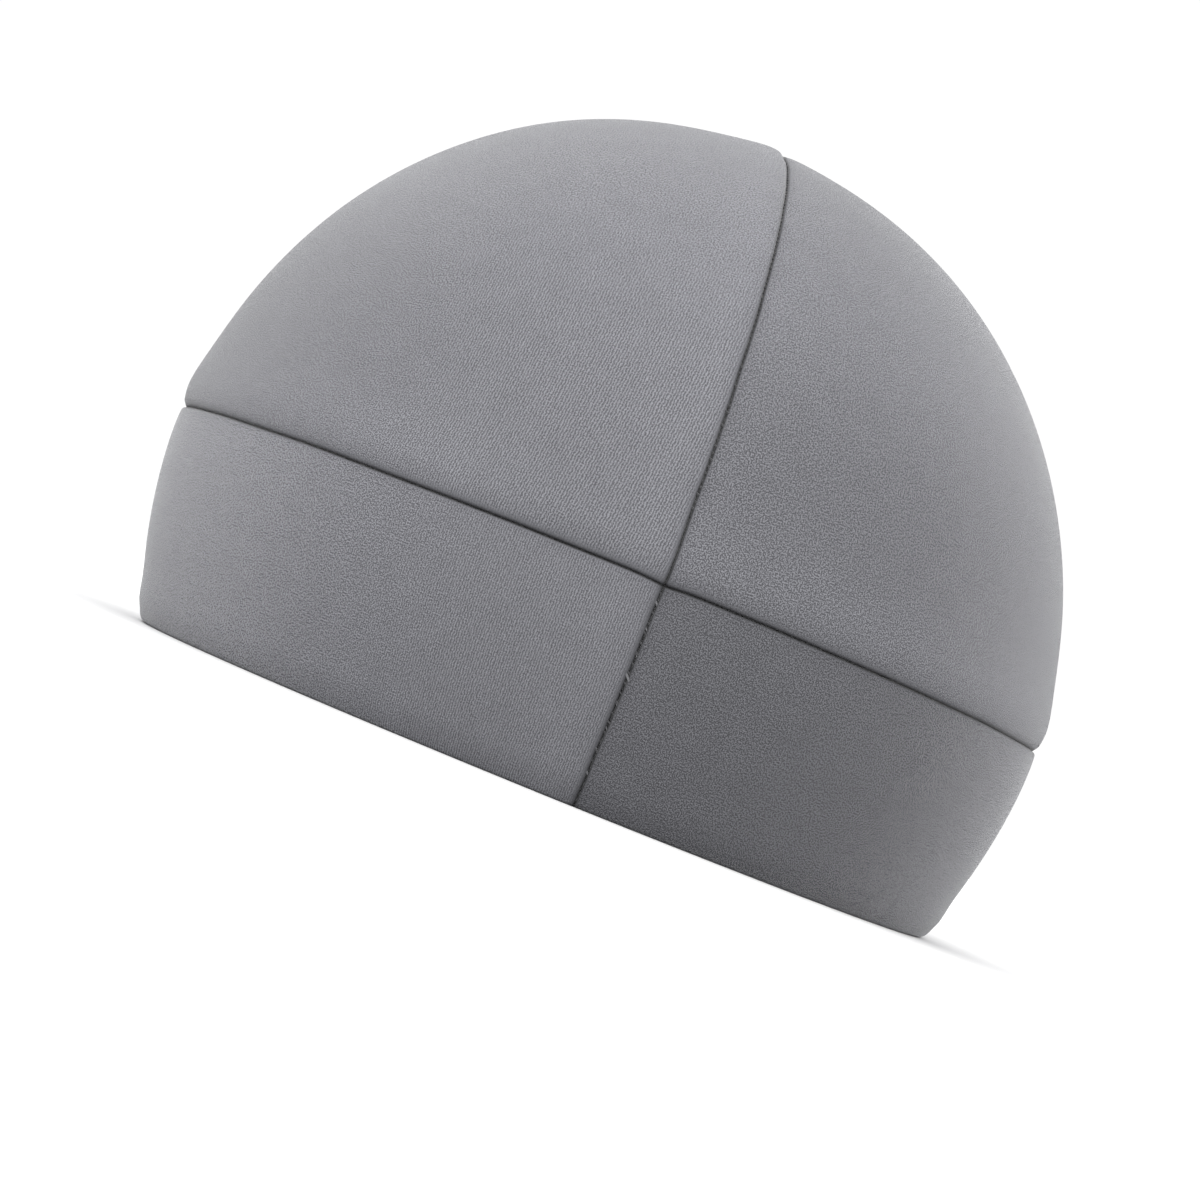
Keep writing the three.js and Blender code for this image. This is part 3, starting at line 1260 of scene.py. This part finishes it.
@dataclass
class StitchRow:
    """A run of equal stitches along a seam, made by Geometry Nodes."""

    name: str
    shape: ThreadShape
    length: float
    width: float
    bow: float
    thread: float
    jitter: float = 0.1
    seed: int = 7
    sides: int = 5
    segment_steps: int = 6

    def tree(self) -> bpy.types.NodeTree:
        """Node tree that sews the thread shape at every vertex of its input.

        Returns:
            The new tree, with named inputs for the sizes, the seed and the material.
        """
        tree = bpy.data.node_groups.new(f"{self.name}_sewing", "GeometryNodeTree")
        kinds = {"Geometry": "Geometry", "Seed": "Int", "Material": "Material"}
        sizes = ("Length", "Width", "Bow", "Thread radius", "Jitter")
        for label in ("Geometry", *sizes, "Seed", "Material"):
            kind = f"NodeSocket{kinds.get(label, 'Float')}"
            tree.interface.new_socket(label, in_out="INPUT", socket_type=kind)
        tree.interface.new_socket("Geometry", in_out="OUTPUT", socket_type="NodeSocketGeometry")
        nodes = Nodes(tree)
        given = nodes.add("NodeGroupInput").outputs
        low = nodes.maths("SUBTRACT", 1.0, given["Jitter"])
        high = nodes.maths("ADD", 1.0, given["Jitter"])
        marks = given["Geometry"]
        sewn = nodes.add("GeometryNodeInstanceOnPoints", Points=marks, Pick_Instance=True)
        nodes.feed(sewn.inputs["Instance"], self._threads(nodes, given))
        nodes.feed(sewn.inputs["Rotation"], self._rotation(nodes))
        nodes.feed(sewn.inputs["Scale"], self._chance(nodes, "FLOAT", low, high, given["Seed"]))
        last = len(self.shape.value) - 1
        variant = self._chance(nodes, "INT", 0, last, given["Seed"])
        nodes.feed(sewn.inputs["Instance Index"], variant)
        solid = nodes.add("GeometryNodeRealizeInstances", Geometry=sewn.outputs[0])
        smooth = nodes.add("GeometryNodeSetShadeSmooth", Geometry=solid.outputs[0])
        finish = given["Material"]
        finished = nodes.add("GeometryNodeSetMaterial", Geometry=smooth.outputs[0], Material=finish)
        nodes.add("NodeGroupOutput", Geometry=finished.outputs[0])
        return tree

    def _chance(
        self, nodes: Nodes, kind: str, low: object, high: object, seed: bpy.types.NodeSocket
    ) -> bpy.types.NodeSocket:
        """Random value, another one for each stitch.

        Args:
            nodes: the tree's nodes.
            kind: data type of the value.
            low: least value, as a number or a socket.
            high: greatest value, as a number or a socket.
            seed: the seed.

        Returns:
            The socket of the value.
        """
        chance = nodes.add("FunctionNodeRandomValue", {"data_type": kind}, Seed=seed)
        limits = [s for s in chance.inputs if s.name in ("Min", "Max") and s.enabled]
        nodes.feed(limits[0], low)
        nodes.feed(limits[1], high)
        return next(s for s in chance.outputs if s.enabled)

    def _threads(self, nodes: Nodes, given: bpy.types.NodeOutputs) -> bpy.types.NodeSocket:
        """Variants of the stitch, each a tube around its Bezier segments.

        Args:
            nodes: the tree's nodes.
            given: the tree's inputs.

        Returns:
            One instance for each variant.
        """
        sizes = {"X": given["Length"], "Y": given["Width"], "Z": given["Bow"]}
        size = nodes.add("ShaderNodeCombineXYZ", **sizes)
        circle = nodes.add("GeometryNodeCurvePrimitiveCircle", Radius=given["Thread radius"])
        circle.inputs["Resolution"].default_value = self.sides
        variants = nodes.add("GeometryNodeJoinGeometry")
        for segments in self.shape.value:
            joined = nodes.add("GeometryNodeJoinGeometry")
            for corners in segments:
                segment = nodes.add("GeometryNodeCurvePrimitiveBezierSegment")
                segment.inputs["Resolution"].default_value = self.segment_steps
                for label, share in zip(("Start", "Start Handle", "End Handle", "End"), corners):
                    point = nodes.add("ShaderNodeVectorMath", {"operation": "MULTIPLY"})
                    nodes.feed(point.inputs[0], share)
                    nodes.feed(point.inputs[1], size.outputs[0])
                    nodes.feed(segment.inputs[label], point.outputs[0])
                nodes.tree.links.new(segment.outputs[0], joined.inputs[0])
            tube = nodes.add("GeometryNodeCurveToMesh", Curve=joined.outputs[0])
            nodes.feed(tube.inputs["Profile Curve"], circle.outputs[0])
            tube.inputs["Fill Caps"].default_value = True
            variant = nodes.add("GeometryNodeGeometryToInstance", Geometry=tube.outputs[0])
            nodes.tree.links.new(variant.outputs[0], variants.inputs[0])
        return variants.outputs[0]

    def _rotation(self, nodes: Nodes) -> bpy.types.NodeSocket:
        """Turn of each stitch.

        Args:
            nodes: the tree's nodes.

        Returns:
            The rotation from the directions stored on the stitch's vertex.
        """
        kind = {"data_type": "FLOAT_VECTOR"}
        along = nodes.add("GeometryNodeInputNamedAttribute", kind, Name="along")
        out = nodes.add("GeometryNodeInputNamedAttribute", kind, Name="out")
        axes = nodes.add("FunctionNodeAxesToRotation", {"primary_axis": "Z", "secondary_axis": "X"})
        nodes.feed(axes.inputs[0], next(s for s in out.outputs if s.enabled))
        nodes.feed(axes.inputs[1], next(s for s in along.outputs if s.enabled))
        return axes.outputs[0]

    def sew(
        self, places: np.ndarray, along: np.ndarray, out: np.ndarray, material: bpy.types.Material
    ) -> bpy.types.Object:
        """Sews the row.

        Args:
            places: middle of each stitch.
            along: direction of the seam at each stitch.
            out: direction away from the cloth at each stitch.
            material: finish of the thread.

        Returns:
            A plain mesh object that holds every stitch.
        """
        marks = bpy.data.meshes.new(f"{self.name}_marks")
        marks.from_pydata(places.tolist(), [], [])
        for label, values in (("along", along), ("out", out)):
            attribute = marks.attributes.new(label, "FLOAT_VECTOR", "POINT")
            attribute.data.foreach_set("vector", values.astype(np.float32).ravel())
        holder = bpy.data.objects.new(f"{self.name}_marks", marks)
        bpy.context.scene.collection.objects.link(holder)
        modifier = holder.modifiers.new("sewing", "NODES")
        modifier.node_group = self.tree()
        values = {
            "Length": self.length,
            "Width": self.width,
            "Bow": self.bow,
            "Thread radius": self.thread,
            "Jitter": self.jitter,
            "Seed": self.seed,
            "Material": material,
        }
        for item in modifier.node_group.interface.items_tree:
            if item.item_type == "SOCKET" and item.in_out == "INPUT" and item.name in values:
                modifier[item.identifier] = values[item.name]
        bpy.context.view_layer.update()
        ready = holder.evaluated_get(bpy.context.evaluated_depsgraph_get())
        mesh = bpy.data.meshes.new_from_object(ready)
        mesh.name = self.name
        bpy.data.objects.remove(holder)
        return linked_object(self.name, mesh)


@dataclass
class OverlockEdging:
    """Overlock threads that bind the raw edge of the turned-up hem.

    Directions are measured over a step, in radians round the ring and in millimetres upwards.
    """

    form: HeadForm
    sewing: Sewing
    width: float = 5.2 * MM
    above_edge: float = 0.4 * MM
    pitch: float = 2.4 * MM
    thread: float = 0.15 * MM
    bow: float = 0.5 * MM
    clearance: float = 0.2 * MM
    path_points: int = 2000
    step: float = 0.01

    def build(self, finish: ThreadFinish) -> bpy.types.Object:
        """Ring of edging, one stitch after another.

        Args:
            finish: finish of the thread.

        Returns:
            The ring as one piece.
        """
        middle = self.sewing.hem_height + self.above_edge - self.width / 2
        fine = np.linspace(-QUARTER, 3 * QUARTER, self.path_points)
        run = lengths_along(self._face(fine, middle))
        count = round(run[-1] / self.pitch)
        angles = np.interp(np.arange(count) * run[-1] / count, run, fine)
        along = self._face(angles - self.step, middle) - self._face(angles + self.step, middle)
        climb = self.step * MM
        up = self._face(angles, middle + climb) - self._face(angles, middle - climb)
        out = unit(np.cross(along, up))
        row = StitchRow(
            "overlock_threads",
            ThreadShape.OVERLOCK,
            length=run[-1] / count,
            width=self.width,
            bow=self.bow,
            thread=self.thread,
        )
        return row.sew(self._face(angles, middle), unit(along), out, finish.material())

    def _face(self, angle: np.ndarray, height: float) -> np.ndarray:
        """Points of the facing's inner face, a little clear of the cloth.

        Args:
            angle: directions seen from above.
            height: height above the rim.

        Returns:
            A point for each angle.
        """
        heights = np.full(np.shape(angle), height)
        inset = self.sewing.facing + self.clearance
        return self.form.points(angle, heights) - self.form.level_normals(angle, heights) * inset


@dataclass
class SeamStitches:
    """Small threads that show across a centre seam, between low and high.

    depth is how far they lie in the seam, and deeper how much further up the cap.
    """

    form: HeadForm
    name: str
    low: float
    high: float
    pitch: float
    front_too: bool = False
    thread: float = 0.14 * MM
    width: float = 0.95 * MM
    bow: float = 0.3 * MM
    depth: float = 0.22 * MM
    deeper: Fade = Fade(70 * MM, 105 * MM, share=1.2)
    jitter: float = 0.35
    line_points: int = 200
    apex_turn: float = 0.03

    def build(self, finish: ThreadFinish) -> bpy.types.Object:
        """Row of stitches over the seam.

        Args:
            finish: finish of the thread.

        Returns:
            The row as one piece.
        """
        line = self._line()
        length = lengths_along(line)[-1]
        count = int(length / self.pitch)
        at = (np.arange(count) + 0.5) * length / count
        places = points_along(line, at)
        along = unit(points_along(line, at + MM) - places + TINY)
        out = unit(np.cross(along, np.array([1.0, 0, 0])))
        centre = np.array([*self.form.centre, self.form.widest])
        out = out * np.sign((out * (places - centre)).sum(axis=1))[:, None]
        row = StitchRow(
            self.name,
            ThreadShape.LADDER,
            length=self.pitch,
            width=self.width,
            bow=self.bow,
            thread=self.thread,
            jitter=self.jitter,
        )
        depth = self.depth * (1 + self.deeper.done(places[:, 2:]))
        return row.sew(places - out * depth, along, out, finish.material())

    def _line(self) -> np.ndarray:
        """Line of the seam on the smooth form.

        Returns:
            Its points from the back upwards, and down the front where the row goes on there.
        """
        if not self.front_too:
            heights = np.linspace(self.low, self.high, self.line_points)
            return self.form.points(np.full(len(heights), -QUARTER), heights)
        turns = np.linspace(self.apex_turn, QUARTER, 2 * self.line_points)
        heights = self.form.height_at(np.cos(turns) ** (2 / self.form.round_power))
        heights = np.concatenate([[self.low], heights[heights > self.low]])
        back = self.form.points(np.full(len(heights), -QUARTER), heights)
        front = self.form.points(np.full(len(heights), QUARTER), heights)
        return np.concatenate([back, front[::-1]])


# Studio


@dataclass(frozen=True)
class SoftLight:
    """A square soft light that faces the cap."""

    name: str
    place: tuple[float, float, float]
    power: float
    size: float = 0.9
    aim_height: float = 60 * MM

    def build(self) -> None:
        """Adds the light to the scene."""
        data = bpy.data.lights.new(self.name, "AREA")
        data.size = self.size
        data.energy = self.power
        light = bpy.data.objects.new(self.name, data)
        light.location = self.place
        aim = Vector((0, 0, self.aim_height)) - Vector(self.place)
        light.rotation_euler = aim.to_track_quat("-Z", "Y").to_euler()
        bpy.context.scene.collection.objects.link(light)


@dataclass
class Studio:
    """Pale floor, white surround and soft lights.

    The surround brightens from surround_low below to surround_high overhead, over the rises of
    surround_span, and the camera itself sees it in seen_surround.
    """

    floor_radius: float = 6.0
    floor_corners: int = 96
    floor_dark: tuple[float, ...] = (0.8, 0.8, 0.8, 1)
    floor_light: tuple[float, ...] = (0.83, 0.83, 0.83, 1)
    speckle: float = 25 * MM
    surround_span: tuple[float, float] = (-0.2, 1.0)
    surround_low: float = 0.39
    surround_high: float = 1.9
    seen_surround: float = 1.02
    lights: tuple[SoftLight, ...] = (
        SoftLight("key_softbox", place=(-0.7, -0.8, 1.1), power=5.5),
        SoftLight("fill_softbox", place=(0.9, -0.7, 0.7), power=0.8),
    )

    def build(self) -> None:
        """Makes the surround, the floor and the lights."""
        bpy.context.scene.view_settings.view_transform = "Standard"
        self._surround()
        self._floor()
        for light in self.lights:
            light.build()

    def _surround(self) -> None:
        """Makes the white surround, brighter overhead, and even where the camera sees it."""
        world = bpy.data.worlds.new("white_surround")
        world.use_nodes = True
        nodes = Nodes(world.node_tree)
        away = nodes.add("ShaderNodeTexCoord").outputs["Generated"]
        lift = nodes.add("ShaderNodeSeparateXYZ", Vector=away).outputs["Z"]
        sky = nodes.add("ShaderNodeMapRange", {"interpolation_type": "SMOOTHSTEP"}, Value=lift)
        limits = (*self.surround_span, self.surround_low, self.surround_high)
        for label, value in zip(("From Min", "From Max", "To Min", "To Max"), limits):
            sky.inputs[label].default_value = value
        seen = nodes.add("ShaderNodeLightPath").outputs["Is Camera Ray"]
        gain = nodes.maths("SUBTRACT", self.seen_surround, sky.outputs["Result"])
        strength = nodes.maths("MULTIPLY_ADD", seen, gain, sky.outputs["Result"])
        glow = nodes.add("ShaderNodeBackground", Color=(1, 1, 1, 1), Strength=strength)
        nodes.add("ShaderNodeOutputWorld", Surface=glow.outputs[0])
        bpy.context.scene.world = world

    def _floor(self) -> bpy.types.Object:
        """Round pale floor under the rim.

        Returns:
            The floor.
        """
        radius = self.floor_radius
        turns = np.linspace(0, 2 * math.pi, self.floor_corners + 1)[:-1]
        ring = [(radius * math.cos(turn), radius * math.sin(turn), 0) for turn in turns]
        mesh = bpy.data.meshes.new("floor")
        mesh.from_pydata(ring, [], [list(range(len(ring)))])
        floor = bpy.data.objects.new("floor", mesh)
        bpy.context.scene.collection.objects.link(floor)
        material, nodes = new_material("pale_floor")
        place = nodes.add("ShaderNodeTexCoord").outputs["Object"]
        speckle = nodes.add("ShaderNodeTexNoise", Vector=place, Scale=1 / self.speckle)
        colour = nodes.blend(speckle.outputs[0], self.floor_dark, self.floor_light)
        shader = nodes.add(
            "ShaderNodeBsdfPrincipled", Base_Color=colour, Roughness=1.0, Specular_IOR_Level=0.0
        )
        nodes.add("ShaderNodeOutputMaterial", Surface=shader.outputs[0])
        return dressed(floor, material)


@dataclass
class PhotoCamera:
    """Camera at the photo's azimuth, distance, lens and roll, lifted just above the floor."""

    form: HeadForm
    azimuth: float = math.radians(-5.811)
    roll: float = math.radians(22.135)
    floor_distance: float = 632.5 * MM
    height: float = 14 * MM
    aim_side: float = -0.74 * MM
    aim_height: float = 33.9 * MM
    lens: float = 106.84
    clip: tuple[float, float] = (0.01, 50)

    def build(self) -> bpy.types.Object:
        """The scene's camera.

        Returns:
            The camera, which the scene looks through.
        """
        data = bpy.data.cameras.new("photo_camera")
        data.lens = self.lens
        data.clip_start, data.clip_end = self.clip
        camera = bpy.data.objects.new("photo_camera", data)
        bpy.context.scene.collection.objects.link(camera)
        centre = Vector((*self.form.centre, 0))
        away = Vector((math.sin(self.azimuth), -math.cos(self.azimuth), 0))
        camera.location = centre + away * self.floor_distance + Vector((0, 0, self.height))
        aim = centre + Vector((self.aim_side, 0, self.aim_height))
        look = (aim - camera.location).to_track_quat("-Z", "Y").to_matrix().to_4x4()
        turn = look @ Matrix.Rotation(self.roll, 4, "Z")
        camera.rotation_euler = turn.to_euler()
        bpy.context.scene.camera = camera
        return camera


# Assembly


@dataclass
class SkullCap:
    """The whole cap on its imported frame.

    The box of the smooth form is measured at every box_turn degrees in box_rows rows.
    """

    form: HeadForm = field(default_factory=HeadForm)
    sewing: Sewing = field(default_factory=Sewing)
    waves: ClothWaves = field(default_factory=ClothWaves)
    box_turn: float = 0.5
    box_rows: int = 200

    def __post_init__(self) -> None:
        """Puts the form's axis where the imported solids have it."""
        low, high = CAD_BOX
        angle = np.radians(np.arange(0, 360, self.box_turn))[:, None]
        heights = np.linspace(0, self.form.height, self.box_rows)
        box = self.form.points(angle, heights).reshape(-1, 3)
        middle = (box.min(axis=0) + box.max(axis=0)) / 2
        centre = (Vector((low.x + high.x, low.y + high.y)) / 2 - Vector(middle[:2])).to_tuple()
        self.form = HeadForm(centre=centre)

    def build(self) -> None:
        """Builds, dresses and reports every piece."""
        left = JerseyFinish("jersey_crown_left", grain_angle=math.radians(7), contrast=0.95)
        right = JerseyFinish("jersey_crown_right", grain_angle=math.radians(-9), wale_share=0.15)
        band = JerseyFinish("jersey_band")
        inside = JerseyFinish("jersey_inside", wale=0.57 * MM, least_wales=0.6, contrast=1.1)
        inside = inside.material()
        thread = ThreadFinish("overlock_thread")
        for side, finish in ((Side.LEFT, left), (Side.RIGHT, right)):
            panel = CrownPanel(side, self.form, self.sewing, self.waves)
            self._place(panel.build(finish.material(), inside), panel.node)
        ring = Band(self.form, self.sewing, self.waves)
        self._place(ring.build(band.material(), inside), "band")
        edging = OverlockEdging(self.form, self.sewing)
        self._place(edging.build(thread), "overlock_edging")
        for row, finish in self.seam_rows():
            self._place(row.build(finish))

    def seam_rows(self) -> list[tuple[SeamStitches, ThreadFinish]]:
        """Rows of thread in the centre seams: sunken ones painted dark as their shade, and a few
        paler ones.

        Returns:
            Each row with its finish.
        """
        seam = self.sewing.band_height
        # This thread is painted dark to stand for the shade in the seams.
        painted_dark_thread = ThreadFinish("thread_in_painted_shade", dark=(0.025, 0.025, 0.028), light=(0.06, 0.06, 0.065))
        pale = ThreadFinish("pale_thread", dark=(0.11, 0.11, 0.118), light=(0.2, 0.2, 0.212))
        crown = SeamStitches(
            self.form,
            "crown_seam_stitches",
            low=seam + MM,
            high=self.form.height,
            pitch=1.2 * MM,
            front_too=True,
        )
        back = SeamStitches(
            self.form, "band_seam_stitches", low=2 * MM, high=seam - MM, pitch=1.6 * MM
        )
        ticks = SeamStitches(
            self.form,
            "band_seam_ticks",
            low=3 * MM,
            high=seam - 2 * MM,
            pitch=3.7 * MM,
            jitter=0.5,
        )
        return [(crown, painted_dark_thread), (back, painted_dark_thread), (ticks, pale)]

    def _place(self, piece: bpy.types.Object, node: str | None = None) -> None:
        """Fastens a piece to the frame.

        Args:
            piece: the finished object.
            node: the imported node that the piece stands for, if any.
        """
        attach(piece, "root")
        if node:
            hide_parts(node)
        LOG.info("%s: %d faces", piece.name, len(piece.data.polygons))


def main() -> None:
    """Builds the studio, the camera and the cap."""
    logging.basicConfig(level=logging.INFO, format="%(name)s %(message)s")
    Studio().build()
    cap = SkullCap()
    PhotoCamera(cap.form).build()
    cap.build()


if __name__ == "__main__":
    main()
